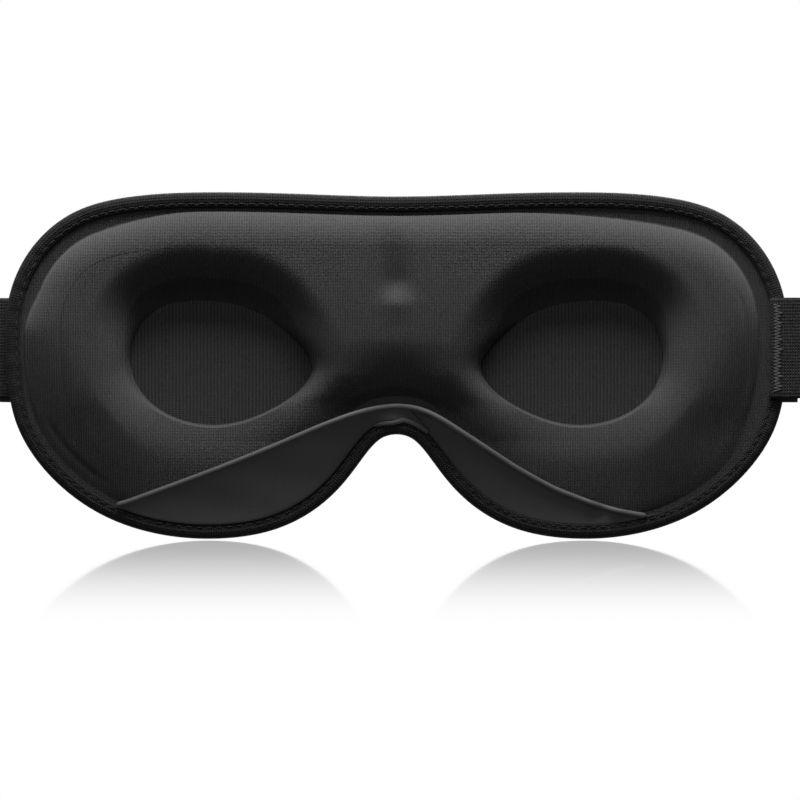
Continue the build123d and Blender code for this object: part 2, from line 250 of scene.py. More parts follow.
@dataclass(frozen=True)
class JerseyKnit:
    """Fine jersey whose wales run upright, for the pad, the cup floors and the outer cover."""

    name: str
    tone: float = 0.036
    pitch: float = 0.72 * MM
    depth: float = 0.32 * MM
    contrast: float = 0.5
    pill: float = 0.2
    # how strongly painted shade darkens the cloth in hollows, and from what depth behind the crest it
    # starts
    recess_shade: float = 0.45
    recess_shade_from: float = 6.6 * MM

    def material(self) -> bpy.types.Material:
        """Wales are a sine across X, courses a finer sine along Z, both broken up by noise.

        Painted shade darkens the cloth in hollows, where it lies further back behind the crest than a
        set depth.
        """
        dress = Dress(self.name)
        x, y, z = dress.place("Object")
        # painted shade: cloth far behind the wrapped crest, in the cup walls, the nose hollow and the
        # flange, is darkened to stand in for shade there
        bent = y + (x / (117.5 * MM)) ** 2 * (7.0 * MM)
        painted_recess_shade = dress.node("ShaderNodeMapRange", {"interpolation_type": "SMOOTHSTEP"},
                             {"Value": bent, "From Min": self.recess_shade_from,
                              "From Max": self.recess_shade_from + 1.2 * MM,
                              "To Min": 0.0, "To Max": self.recess_shade})
        wander = dress.noise("Object", 240.0, 4.0)
        wale = (x * (2 * np.pi / self.pitch) + wander * 2.2).sine() * 0.5 + 0.5
        course = (z * (2 * np.pi / (self.pitch * 0.62)) + wander * 2.6).sine() * 0.5 + 0.5
        fuzz = dress.noise("Object", 2600.0, 2.0)
        patch = dress.noise("Object", 38.0, 4.0)
        height = wale * 0.55 + course * 0.25 + fuzz * 0.7
        shade = wale * self.contrast + (fuzz - 0.5) * 1.6 + patch * self.pill + 0.1 - painted_recess_shade
        colour = dress.tones(shade, grey(self.tone * 0.62), grey(self.tone * 1.5))
        rough = 0.88 - patch * 0.08
        return dress.finish(colour, rough, height, self.depth, {
            "Specular IOR Level": 0.015, "Sheen Weight": 0.06, "Sheen Roughness": 0.5})


@dataclass(frozen=True)
class ElasticTape:
    """Woven elastic: cords along the tape, picks across it and a speckle of bright yarn."""

    name: str
    tone: float = 0.009
    cord: float = 0.95 * MM
    pick: float = 0.80 * MM
    depth: float = 0.30 * MM
    speckle: float = 0.45

    def material(self) -> bpy.types.Material:
        """Cords and picks are sunk sines on the UV map in metres; the speckle is clipped noise."""
        dress = Dress(self.name)
        u, v, _ = dress.place("UV")
        jitter = dress.noise("UV", 700.0, 2.0)
        cords = (v * (2 * np.pi / self.cord) + jitter * 1.2).sine() * 0.5 + 0.5
        picks = (u * (2 * np.pi / self.pick) + jitter * 1.5 + cords * 2.4).sine() * 0.5 + 0.5
        yarn = dress.noise("UV", 2100.0, 1.0, (1.0, 2.4, 1.0))
        bright = (yarn - 0.53).above(0.0) * picks
        wear = dress.noise("UV", 60.0, 3.0)
        height = cords * 0.45 + picks * 0.55 + yarn * 0.3
        shade = height * 0.35 + wear * 0.15 + bright * self.speckle * 2.0
        colour = dress.tones(shade, grey(self.tone * 0.3), grey(self.tone * 2.6))
        return dress.finish(colour, 0.80 - wear * 0.08, height, self.depth, {
            "Specular IOR Level": 0.03, "Sheen Weight": 0.02, "Sheen Roughness": 0.5}, sunk=True)


@dataclass(frozen=True)
class SatinCloth:
    """Smooth, slightly shiny cloth with a very fine weave, for the nose flap and backings."""

    name: str
    tone: float = 0.030
    depth: float = 0.05 * MM

    def material(self) -> bpy.types.Material:
        """Two crossed fine sines give the weave and a low noise gives soft handling marks."""
        dress = Dress(self.name)
        x, _, z = dress.place("Object")
        warp = (x * (2 * np.pi / (0.34 * MM))).sine() * 0.5 + 0.5
        weft = (z * (2 * np.pi / (0.40 * MM))).sine() * 0.5 + 0.5
        drift = dress.noise("Object", 70.0, 4.0, (1.0, 1.0, 0.5))
        grain = dress.noise("Object", 3000.0, 1.0)
        height = warp * 0.25 + weft * 0.25 + grain * 0.3 + drift * 0.9
        colour = dress.tones(drift * 0.6 + grain * 0.4, grey(self.tone * 0.8), grey(self.tone * 1.3))
        return dress.finish(colour, 0.50 + drift * 0.14, height, self.depth, {
            "Specular IOR Level": 0.10, "Sheen Weight": 0.03, "Sheen Roughness": 0.4})


@dataclass(frozen=True)
class SewingThread:
    """Twisted polyester thread, a little brighter than the cloth."""

    name: str
    tone: float = 0.035
    depth: float = 0.04 * MM

    def material(self) -> bpy.types.Material:
        """Slanted strands from a sine on the sum of the object axes."""
        dress = Dress(self.name)
        x, y, z = dress.place("Object")
        strands = ((x + y + z) * (2 * np.pi / (0.25 * MM))).sine() * 0.5 + 0.5
        fibre = dress.noise("Object", 4000.0, 1.0)
        shade = strands * 0.6 + fibre * 0.4
        colour = dress.tones(shade, grey(self.tone * 0.6), grey(self.tone * 1.4))
        return dress.finish(colour, 0.62, strands, self.depth, {"Specular IOR Level": 0.10})


@dataclass(frozen=True)
class MouldedPlastic:
    """Satin injection-moulded plastic with a fine spark-eroded texture and light rubbing."""

    name: str
    tone: float = 0.014
    depth: float = 0.03 * MM

    def material(self) -> bpy.types.Material:
        """Fine noise for the moulded grain and a broad one for rubbed patches."""
        dress = Dress(self.name)
        grain = dress.noise("Object", 1800.0, 3.0)
        rub = dress.noise("Object", 120.0, 3.0)
        colour = dress.tones(rub * 0.5 + grain * 0.3, grey(self.tone * 0.8), grey(self.tone * 1.5))
        return dress.finish(colour, 0.34 + rub * 0.16, grain, self.depth,
                            {"Specular IOR Level": 0.3})


# ---------------------------------------------------------------- mesh helpers


def grid_mesh(name: str, points: Array, uv: Array | None = None, ring: bool = False,
              loop: bool = False, flip: bool = False) -> bpy.types.Mesh:
    """Builds a quad mesh from a grid of points.

    Args:
        name: the mesh's name.
        points: array of rows by columns by 3.
        uv: rows by columns by 2 in metres, with one more row or column where it is closed.
        ring: the last column joins the first.
        loop: the last row joins the first.
        flip: turns the faces round.

    Returns:
        The mesh, smooth shaded.
    """
    rows, columns = points.shape[:2]
    index = np.arange(rows * columns).reshape(rows, columns)
    place = np.arange((rows + loop) * (columns + ring)).reshape(rows + loop, columns + ring)
    if ring:
        index = np.hstack([index, index[:, :1]])
    if loop:
        index = np.vstack([index, index[:1]])
    corners = []
    for table in (index, place):
        quads = np.stack([table[:-1, :-1], table[:-1, 1:], table[1:, 1:], table[1:, :-1]], -1)
        corners.append(quads.reshape(-1, 4)[:, ::-1] if flip else quads.reshape(-1, 4))
    mesh = bpy.data.meshes.new(name)
    mesh.from_pydata(points.reshape(-1, 3).tolist(), [], corners[0].tolist())
    if uv is not None:
        layer = mesh.uv_layers.new(name="cloth")
        layer.data.foreach_set("uv", uv.reshape(-1, 2)[corners[1].ravel()].ravel().astype(np.float32))
    mesh.polygons.foreach_set("use_smooth", [True] * len(mesh.polygons))
    mesh.update()
    return mesh


def joined(name: str, meshes: Sequence[bpy.types.Mesh], gap: float = 0.004 * MM) -> bpy.types.Mesh:
    """One mesh from several, with points closer than gap merged."""
    work = bmesh.new()
    for mesh in meshes:
        work.from_mesh(mesh)
    bmesh.ops.remove_doubles(work, verts=work.verts, dist=gap)
    whole = bpy.data.meshes.new(name)
    work.to_mesh(whole)
    work.free()
    for mesh in meshes:
        bpy.data.meshes.remove(mesh)
    whole.polygons.foreach_set("use_smooth", [True] * len(whole.polygons))
    whole.update()
    return whole


def show(mesh: bpy.types.Mesh, material: bpy.types.Material) -> bpy.types.Object:
    """Makes the mesh a piece with its material, named after the mesh."""
    piece = bpy.data.objects.new(mesh.name, mesh)
    bpy.context.scene.collection.objects.link(piece)
    mesh.materials.clear()
    mesh.materials.append(material)
    LOG.info("%s: %d faces", piece.name, len(mesh.polygons))
    return piece


def soften(piece: bpy.types.Object, level: int = 1) -> None:
    """Adds subdivision, the same in the view and in the render."""
    finish = piece.modifiers.new("soften", "SUBSURF")
    finish.levels = level
    finish.render_levels = level


def thicken(piece: bpy.types.Object, thickness: float, offset: float = -1.0) -> None:
    """Gives a single sheet its thickness."""
    wall = piece.modifiers.new("ply", "SOLIDIFY")
    wall.thickness = thickness
    wall.offset = offset


def smooth_step(t: Array) -> Array:
    """Rises from 0 to 1 with t, level at both ends."""
    t = np.clip(t, 0.0, 1.0)
    return t * t * (3 - 2 * t)


def round_over(t: Array) -> Array:
    """Quarter circle: 0 at t = 0 where it is steep, 1 at t = 1 where it is level."""
    t = np.clip(t, 0.0, 1.0)
    return np.sqrt(np.clip(1 - (1 - t) ** 2, 0, 1))


def bell(distance: Array, width: float) -> Array:
    """Gaussian bump of that half-width."""
    return np.exp(-((distance / width) ** 2))


def unit(vectors: Array) -> Array:
    """Vectors of length one."""
    return vectors / np.maximum(np.linalg.norm(vectors, axis=-1, keepdims=True), 1e-12)


def travelled(path: Array) -> Array:
    """Distance along the path at each of its points."""
    return np.concatenate([[0], np.cumsum(np.linalg.norm(np.diff(path, axis=0), axis=1))])


def smooth_loop(knots: Array, count: int) -> Array:
    """Closed cubic spline through the knots, sampled evenly along its chord lengths."""
    size = len(knots)
    after = np.roll(knots, -1, 0)
    span = np.linalg.norm(after - knots, axis=1)
    before = np.roll(span, 1)
    rows = np.arange(size)
    matrix = np.zeros((size, size))
    matrix[rows, rows] = 2 * (span + before)
    matrix[rows, (rows + 1) % size] = span
    matrix[rows, rows - 1] = before
    slope = (after - knots) / span[:, None]
    bend = np.linalg.solve(matrix, 6 * (slope - np.roll(slope, 1, 0)))
    start = np.concatenate([[0.0], np.cumsum(span)])
    place = np.linspace(0, start[-1], count, endpoint=False)
    k = np.searchsorted(start, place, side="right") - 1
    n = (k + 1) % size
    h = span[k]
    a = (start[k + 1] - place) / h
    b = 1 - a
    curve = ((a**3 - a) * h**2 / 6)[:, None] * bend[k] + ((b**3 - b) * h**2 / 6)[:, None] * bend[n]
    return a[:, None] * knots[k] + b[:, None] * knots[n] + curve


def tube(name: str, path: Array, radius: float, sides: int = 8, flat: float = 1.0) -> bpy.types.Mesh:
    """Closed tube along a path: circles set square to the path and round caps of two rings.

    Args:
        name: the mesh's name.
        path: points along the middle.
        radius: half the tube's width.
        sides: points in each circle.
        flat: height of the section across Y as a share of its width.

    Returns:
        The tube's mesh, with U along it and V round it in metres.
    """
    along = unit(np.gradient(path, axis=0))
    across = unit(np.cross(along, (0.0, 1.0, 0.0)))
    other = np.cross(across, along)
    turn = np.linspace(0, 2 * np.pi, sides, endpoint=False)
    size = np.full(len(path), radius)
    size[[0, -1]] *= 0.55
    ring = (np.cos(turn)[None, :, None] * across[:, None]
            + flat * np.sin(turn)[None, :, None] * other[:, None])
    body = path[:, None] + ring * size[:, None, None]
    ends = [np.repeat(p[None, None], sides, 1) for p in (path[0] - along[0] * radius * 0.5,
                                                         path[-1] + along[-1] * radius * 0.5)]
    points = np.concatenate([ends[0], body, ends[1]])
    length = travelled(path)
    length = np.concatenate([[0], length, [length[-1]]])
    v = np.linspace(0, 2 * np.pi * radius, sides + 1)
    uv = np.stack(np.meshgrid(length, v, indexing="ij"), -1)
    return joined(name, [grid_mesh(name, points, uv, ring=True, flip=True)], gap=0.002 * MM)


# ---------------------------------------------------------------- the mask's form


@dataclass
class MaskForm:
    """Outline, cups and levels that the mask's pieces share, in metres.

    The outline is one closed spline. Depths are along Y from the wrapped crest surface.
    """

    half_width: float = 117.5 * MM
    sag: float = 7.0 * MM
    samples: int = 480
    rim_half: tuple[tuple[float, float], ...] = (
        (0.0, 45.9), (30.0, 46.7), (58.0, 47.1), (80.9, 45.6), (97.4, 40.8), (110.7, 28.8),
        (116.7, 14.5), (117.4, -4.0), (114.2, -23.0), (104.3, -38.4), (88.4, -50.4), (70.0, -56.4),
        (52.0, -57.4), (36.0, -54.5), (24.5, -48.6), (16.0, -40.8), (10.0, -33.0), (6.6, -28.9),
        (4.3, -27.1),
    )
    eye_floor: tuple[tuple[float, float], ...] = (
        (25.6, -6.0), (41.0, 9.8), (60.0, 13.8), (75.0, 9.6),
        (80.4, -1.5), (75.5, -15.0), (59.0, -22.8), (41.0, -19.8),
    )
    eye_centre: tuple[float, float] = (54.0 * MM, -4.0 * MM)
    wall_top: float = 17.5 * MM
    wall_bottom: float = 13.0 * MM
    wall_outer: float = 12.0 * MM
    wall_nose: float = 11.0 * MM
    wall_corner: float = 3.0 * MM
    flange: float = 8.1 * MM
    pad_inset: float = 6.0 * MM
    floor: float = 13.3 * MM
    hollow: float = 8.8 * MM
    barrel: float = 3.4 * MM
    fine: Array = field(init=False)
    inward: Array = field(init=False)

    def __post_init__(self) -> None:
        """Works out the outline and its inward directions once."""
        half = np.array(self.rim_half) * MM
        knots = np.vstack([half, half[:0:-1] * (-1, 1)])
        self.fine = smooth_loop(knots, self.samples * 8)
        along = unit(np.roll(self.fine, -1, 0) - np.roll(self.fine, 1, 0))
        self.inward = np.stack([along[:, 1], -along[:, 0]], 1)

    def rim(self, inset: float, count: int | None = None) -> Array:
        """The outline moved inwards, clockwise from the top centre, as (x, z)."""
        step = len(self.fine) // (count or self.samples)
        return (self.fine + inset * self.inward)[::step]

    def inside(self, x: Array, z: Array) -> Array:
        """Distance from each point to the outline."""
        edge = self.rim(0.0, 960)
        flat = np.stack([x.ravel(), z.ravel()], 1)
        reach = [np.hypot(*(part[:, None] - edge[None]).transpose(2, 0, 1)).min(1)
                 for part in np.array_split(flat, 16)]
        return np.concatenate(reach).reshape(x.shape)

    def wrap(self, x: Array) -> Array:
        """How far the mask bends towards the face at x."""
        return -self.sag * (x / self.half_width) ** 2

    def eye_polar(self, x: Array, z: Array) -> tuple[Array, Array, Array, Array]:
        """Distance outside the cup floor, wall width there and direction from the cup's centre."""
        loop = smooth_loop(np.array(self.eye_floor) * MM, 256) - self.eye_centre
        angle = np.arctan2(loop[:, 1], loop[:, 0])
        order = np.argsort(angle)
        dx, dz = np.abs(x) - self.eye_centre[0], z - self.eye_centre[1]
        reach = np.maximum(np.hypot(dx, dz), 1e-9)
        edge = np.interp(np.arctan2(dz, dx), angle[order], np.hypot(*loop.T)[order], period=2 * np.pi)
        across, up = dx / reach, dz / reach
        wide = np.where(across > 0, self.wall_outer, self.wall_nose) * across**2
        wide = wide + np.where(up > 0, self.wall_top, self.wall_bottom) * up**2
        wide = wide + self.wall_corner * np.clip(up, 0, 1) * np.abs(across) * 2
        return reach - edge, wide, across, up

    def crest(self, x: Array, z: Array) -> Array:
        """Front of the pad away from its edges: wrapped, hollowed over the nose, creased above it."""
        low = np.clip((3 * MM - z) / (20 * MM), 0, 1) ** 1.6
        spread = 15 * MM + 0.8 * np.clip(-z - 8 * MM, 0, 20 * MM)
        hollow = self.hollow * bell(x, spread) * low
        ramp = smooth_step((z - 12.5 * MM) / (8 * MM))
        ramp = ramp * np.clip((38 * MM - z) / (17 * MM), 0, 1) ** 0.8
        crease = 2.7 * MM * bell(x + 0.9 * MM + 0.08 * (z - 26 * MM), 4.4 * MM) * ramp
        knob = 0.6 * MM * bell(np.hypot(x + 1.2 * MM, (z - 13.5 * MM) * 1.3), 5.0 * MM)
        cheek = smooth_step((np.abs(x) - 60 * MM) / (30 * MM))
        return self.wrap(x) + hollow + crease - knob + self.belly(z) * (1 - 0.5 * cheek)

    def belly(self, z: Array) -> Array:
        """How far the pad's crest falls back above and below its proudest line."""
        return self.barrel * ((z - 26 * MM) / (50 * MM)) ** 2

    def edge_width(self, x: Array, z: Array) -> Array:
        """Width of the rounded edge of the pad: tight along the top, long under the cheeks."""
        drop = smooth_step((26 * MM - z) / (64 * MM))
        side = smooth_step((np.abs(x) - 60 * MM) / (35 * MM))
        return 9.5 * MM + 6.0 * MM * drop + 5.0 * MM * drop * side

    def shoulder(self, x: Array, z: Array, inset: Array) -> Array:
        """0 at the pad's foot and 1 on its crest."""
        right = smooth_step((x - 30 * MM) / (62 * MM)) * smooth_step((z + 38 * MM) / (20 * MM))
        left = smooth_step((-x - 60 * MM) / (32 * MM)) * smooth_step((z - 4 * MM) / (14 * MM))
        foot = self.pad_inset + 3.2 * MM * right + 2.6 * MM * left
        u = np.clip((inset - foot) / self.edge_width(x, z), 0, 1)
        slack = smooth_step((np.abs(x) - 60 * MM) / (30 * MM)) * smooth_step((6 * MM - z) / (34 * MM))
        return round_over(u) * (1 - slack) + (1 - (1 - u) ** 1.35) * slack

    def pad(self, x: Array, z: Array, inset: Array) -> Array:
        """Front surface of the padded face: flange, rounded edge, crest and cup walls."""
        crest = self.crest(x, z)
        flange = self.wrap(x) + self.flange
        y = flange + (crest - flange) * self.shoulder(x, z, inset)
        gap, wide, _, up = self.eye_polar(x, z)
        t = gap / wide
        crisp = 0.72 * round_over(t / 0.07) + 0.28 * np.sin(np.clip(t, 0, 1) * np.pi / 2)
        soft = 0.62 * smooth_step(t) + 0.38 * np.sin(np.clip(t, 0, 1) * np.pi / 2)
        steep = round_over(t) ** 0.85
        above = smooth_step((up - 0.05) / 0.75)
        below = smooth_step((-up - 0.1) / 0.6)
        wall = steep * (1 - above - below) + soft * above + crisp * below
        floor = self.wrap(x) + self.floor
        return floor + (y - floor) * wall + self.tucks(x, z, inset)

    def tucks(self, x: Array, z: Array, inset: Array) -> Array:
        """Fine creases in the jersey close to the pad's right side and lower left corner."""
        right = smooth_step((x - 90 * MM) / (12 * MM)) * smooth_step((19 * MM - z) / (6 * MM))
        right = right * smooth_step((z + 18 * MM) / (9 * MM))
        left = smooth_step((-x - 84 * MM) / (8 * MM)) * smooth_step((-20 * MM - z) / (6 * MM))
        line = bell(inset - 12.4 * MM - 0.05 * (z + 2 * MM), 0.6 * MM)
        return 0.6 * MM * line * right + 0.4 * MM * bell(inset - 9.5 * MM, 0.9 * MM) * left

    def dome(self, x: Array, z: Array) -> Array:
        """1 behind an eye cup, falling to 0 around it."""
        gap = self.eye_polar(x, z)[0]
        return 1 - smooth_step((gap - 2 * MM) / (16 * MM))


def lift(plane: Array, y: Array) -> Array:
    """Points (x, y, z) from (x, z) and y."""
    return np.stack([plane[..., 0], y, plane[..., 1]], -1)


def flat_uv(points: Array) -> Array:
    """UV map that is simply x and z in metres."""
    return points[..., (0, 2)].copy()


def half_fan(form: MaskForm, inset: float, reach: Array, hole: bool) -> Array:
    """Rays over the right half of the mask, from the cup to the outline and the middle plane.

    Args:
        form: the mask's form.
        inset: which outline the rays end on.
        reach: places along each ray from 0 to 1.
        hole: rays start on the cup floor's edge and not at its centre.

    Returns:
        Places times rays by 2, as (x, z), closed round the cup.
    """
    edge = form.rim(inset)
    right = edge[: len(edge) // 2 + 1].copy()
    right[[0, -1], 0] = 0.0
    bottom, top = right[-1, 1], right[0, 1]
    middle = np.linspace(bottom, top, 62)[1:-1]
    outer = np.vstack([right, np.stack([0 * middle, middle], 1)])
    centre = np.array(form.eye_centre)
    start = np.repeat(centre[None], len(outer), 0)
    if hole:
        arm = outer - centre
        gap = form.eye_polar(outer[:, 0], outer[:, 1])[0]
        length = np.linalg.norm(arm, axis=1)
        start = centre + arm * ((length - gap) / length)[:, None]
    return start[None] + (outer - start)[None] * reach[:, None, None]


@dataclass
class PadCover:
    """Jersey-covered cushion: one surface over flange, rounded edge, crest and cup walls."""

    form: MaskForm
    band_end: float = 17.0 * MM
    tuck: float = 3.0 * MM

    def band(self) -> bpy.types.Mesh:
        """Strip round the rim: rings at set insets, close together where the edge rises."""
        steps = np.concatenate([
            np.linspace(self.tuck, self.form.pad_inset, 7)[:-1],
            self.form.pad_inset + (self.band_end - self.form.pad_inset)
            * (1 - np.cos(np.linspace(0, np.pi / 2, 32))) ** 1.15,
        ])
        rings = np.stack([self.form.rim(inset) for inset in steps])
        x, z = rings[..., 0], rings[..., 1]
        inset = np.repeat(steps[:, None], rings.shape[1], 1)
        points = lift(rings, self.form.pad(x, z, inset))
        return grid_mesh("pad_band", points, ring=True, flip=True)

    def half(self, side: Side) -> bpy.types.Mesh:
        """Inner part of one half: rays from the cup floor to the strip and the middle plane."""
        ease = np.linspace(0, 1, 40)
        reach = 0.35 * ease + 0.65 * ease**1.9
        plane = half_fan(self.form, self.band_end, reach, True)
        x, z = plane[..., 0], plane[..., 1]
        y = self.form.pad(x, z, self.form.inside(x, z))
        points = lift(plane, y)
        points[..., 0] *= side.value
        return grid_mesh("pad_half", points, ring=True, flip=side is Side.LEFT)

    def build(self) -> None:
        mesh = joined("pad_cover", [self.band(), self.half(Side.RIGHT), self.half(Side.LEFT)])
        piece = show(mesh, JerseyKnit("pad_jersey").material())
        soften(piece)
        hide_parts("face_fabric", "foam_pad")
        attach(piece, "mask")


@dataclass
class CupFloor:
    """Flat ribbed panel at the bottom of one eye cup."""

    form: MaskForm
    side: Side
    level: float = 12.9 * MM
    rise: float = 0.5 * MM

    def build(self) -> None:
        """Rings of the cup floor's outline shrink to its centre; the middle sits a little deeper."""
        loop = smooth_loop(np.array(self.form.eye_floor) * MM, 160)
        centre = np.array(self.form.eye_centre)
        shrink = np.linspace(1.03, 0.0, 26)
        plane = centre + (loop - centre)[None] * shrink[:, None, None]
        y = self.form.wrap(plane[..., 0]) + self.level - self.rise * (1 - shrink[:, None] ** 2)
        points = lift(plane, y)
        points[..., 0] *= self.side.value
        name = "cup_panel_" + self.side.name.lower()
        mesh = joined(name, [grid_mesh(name, points, ring=True, flip=self.side is Side.RIGHT)])
        knit = JerseyKnit("cup_rib", tone=0.028, pitch=1.05 * MM, depth=0.3 * MM, contrast=0.7,
                          recess_shade=0.0)
        piece = show(mesh, knit.material())
        thicken(piece, 0.8 * MM)
        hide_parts("cup_floor_" + self.side.name.lower())
        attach(piece, "mask")


@dataclass
class OuterCover:
    """Outer fabric with a shallow dome behind each cup."""

    form: MaskForm
    back: float = 11.25 * MM
    rise: float = 4.7 * MM
    edge: float = 1.6 * MM
    thickness: float = 0.8 * MM

    def half(self, side: Side) -> bpy.types.Mesh:
        """Rays from the cup's centre to the rim; the level falls slightly towards the binding."""
        plane = half_fan(self.form, self.edge, np.linspace(0, 1, 44), False)
        x, z = plane[..., 0], plane[..., 1]
        inset = self.form.inside(x, z)
        y = self.form.wrap(x) + self.back + self.rise * self.form.dome(x, z)
        y = y - 0.5 * MM * (1 - smooth_step((inset - 4 * MM) / (6 * MM)))
        points = lift(plane, y)
        points[..., 0] *= side.value
        return grid_mesh("outer_half", points, ring=True, flip=side is Side.RIGHT)

    def build(self) -> None:
        """Joins both halves at the middle plane."""
        mesh = joined("outer_cover", [self.half(Side.RIGHT), self.half(Side.LEFT)])
        knit = JerseyKnit("outer_knit", tone=0.026, pitch=0.7 * MM, depth=0.1 * MM, contrast=0.3,
                          recess_shade=0.0)
        piece = show(mesh, knit.material())
        thicken(piece, self.thickness)
        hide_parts("outer_shell")
        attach(piece, "mask")


@dataclass
class EdgeBinding:
    """Elastic tape folded over the rim, with its lockstitch."""

    form: MaskForm
    around: int = 768
    stitch_inset: float = 3.55 * MM
    stitch_pitch: float = 3.0 * MM
    stitch_length: float = 2.3 * MM
    thread: float = 0.19 * MM
    middle: float = 9.5 * MM
    front_seam: float = 7.12 * MM
    back_seam: float = 11.95 * MM
    section: tuple[tuple[float, float], ...] = (
        (4.55, 8.15), (4.72, 7.75), (4.62, 7.35), (4.25, 7.12), (3.9, 7.08), (3.55, 7.2),
        (3.2, 7.05), (2.4, 6.85), (1.5, 6.98), (0.75, 7.45), (0.2, 8.35), (0.0, 9.5),
        (0.2, 10.7), (0.75, 11.5), (1.5, 11.95), (2.4, 12.1), (3.2, 12.0), (3.55, 11.85),
        (4.2, 11.95), (4.65, 11.75), (4.72, 11.3), (4.3, 11.0), (2.6, 10.9), (1.2, 10.6),
        (1.0, 9.5), (1.2, 8.5), (2.6, 8.2),
    )

    def tape(self) -> None:
        """The section, as (inset, depth), is carried round the rim with soft gathers."""
        profile = np.array(self.section) * MM
        turn = np.linspace(0, 2 * np.pi, self.around, endpoint=False)
        gather = 0.07 * np.sin(turn * 97) + 0.06 * np.sin(turn * 61 + 1.3)
        gather = gather + 0.05 * np.sin(turn * 151 + 0.4)
        base = self.form.rim(0.0, self.around)
        inward = self.form.inward[:: len(self.form.fine) // self.around]
        reach = profile[:, 0][:, None]
        inset = reach * (1 + 0.05 * gather * (reach > 3.4 * MM))
        plane = base[None] + inset[..., None] * inward[None]
        swell = 1 + 0.35 * gather[None] * (reach > 0.5 * MM) * (reach < 4.4 * MM)
        y = self.middle + (profile[:, 1][:, None] - self.middle) * swell
        y = y + self.form.wrap(plane[..., 0])
        length = travelled(base)
        length = np.append(length, 2 * length[-1] - length[-2])
        girth = travelled(profile)
        girth = np.append(girth, girth[-1] + 2 * MM)
        v, u = np.meshgrid(girth, length, indexing="ij")
        mesh = grid_mesh("binding_tape", lift(plane, y), np.stack([u, v], -1), ring=True, loop=True)
        piece = show(mesh, ElasticTape("binding_weave").material())
        soften(piece)
        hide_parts("edge_binding")
        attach(piece, "mask")

    def stitches(self) -> None:
        """Short capsules of thread set end to end along the tape's inner edge, front and back."""
        loop = self.form.rim(self.stitch_inset, self.around)
        closed = np.vstack([loop, loop[:1]])
        place = travelled(closed)
        count = int(place[-1] / self.stitch_pitch)
        t = np.linspace(-0.5, 0.5, 6)
        angle = np.linspace(0, 2 * np.pi, 6, endpoint=False)
        thin = self.thread * np.array([0.25, 0.85, 1.0, 1.0, 0.85, 0.25])
        bow = self.thread * (1 - (2 * t) ** 4) * 0.8
        meshes = []
        for level, out in ((self.front_seam, -1.0), (self.back_seam, 1.0)):
            centre = (np.arange(count)[:, None] + 0.5) * place[-1] / count
            centre = centre + t[None] * self.stitch_length
            x = np.interp(centre, place, closed[:, 0], period=place[-1])
            z = np.interp(centre, place, closed[:, 1], period=place[-1])
            y = self.form.wrap(x) + level + out * bow[None]
            path = np.stack([x, y, z], -1)
            along = unit(np.gradient(path, axis=1))
            side = unit(np.cross(along, (0.0, 1.0, 0.0)))
            other = np.cross(side, along)
            ring = (side[:, :, None] * np.cos(angle)[None, None, :, None]
                    + other[:, :, None] * np.sin(angle)[None, None, :, None])
            points = path[:, :, None] + ring * thin[None, :, None, None]
            meshes.append(self.capsules(points))
        mesh = joined("binding_stitches", meshes, gap=0.0005 * MM)
        piece = show(mesh, SewingThread("binding_thread", tone=0.014).material())
        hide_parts("binding_thread")
        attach(piece, "mask")

    @staticmethod
    def capsules(points: Array) -> bpy.types.Mesh:
        """Closed tubes from an array of pieces by rings by sides, each end closed by one face."""
        pieces, rings, sides = points.shape[:3]
        index = np.arange(rings * sides).reshape(rings, sides)
        wrapped = np.hstack([index, index[:, :1]])
        quads = np.stack([wrapped[:-1, :-1], wrapped[1:, :-1], wrapped[1:, 1:], wrapped[:-1, 1:]], -1)
        quads = quads.reshape(-1, 4)
        faces = [(quads + k * rings * sides).tolist() for k in range(pieces)]
        ends = [[(index[0] + k * rings * sides).tolist(),
                 (index[-1, ::-1] + k * rings * sides).tolist()] for k in range(pieces)]
        mesh = bpy.data.meshes.new("stitches")
        mesh.from_pydata(points.reshape(-1, 3).tolist(), [], sum(faces, []) + sum(ends, []))
        mesh.update()
        return mesh

    def build(self) -> None:
        """Makes the tape and its stitches."""
        self.tape()
        self.stitches()


# ---------------------------------------------------------------- the nose flap


@dataclass(frozen=True)
class Cut:
    """A panel's cloth before it is sewn in: its smallest rectangle and its flat area.

    Each is the CAD panel's own face, plus the turned hem, the seam strip and the lap under
    None is read off a mesh.
    """

    length: float
    depth: float
    area: float


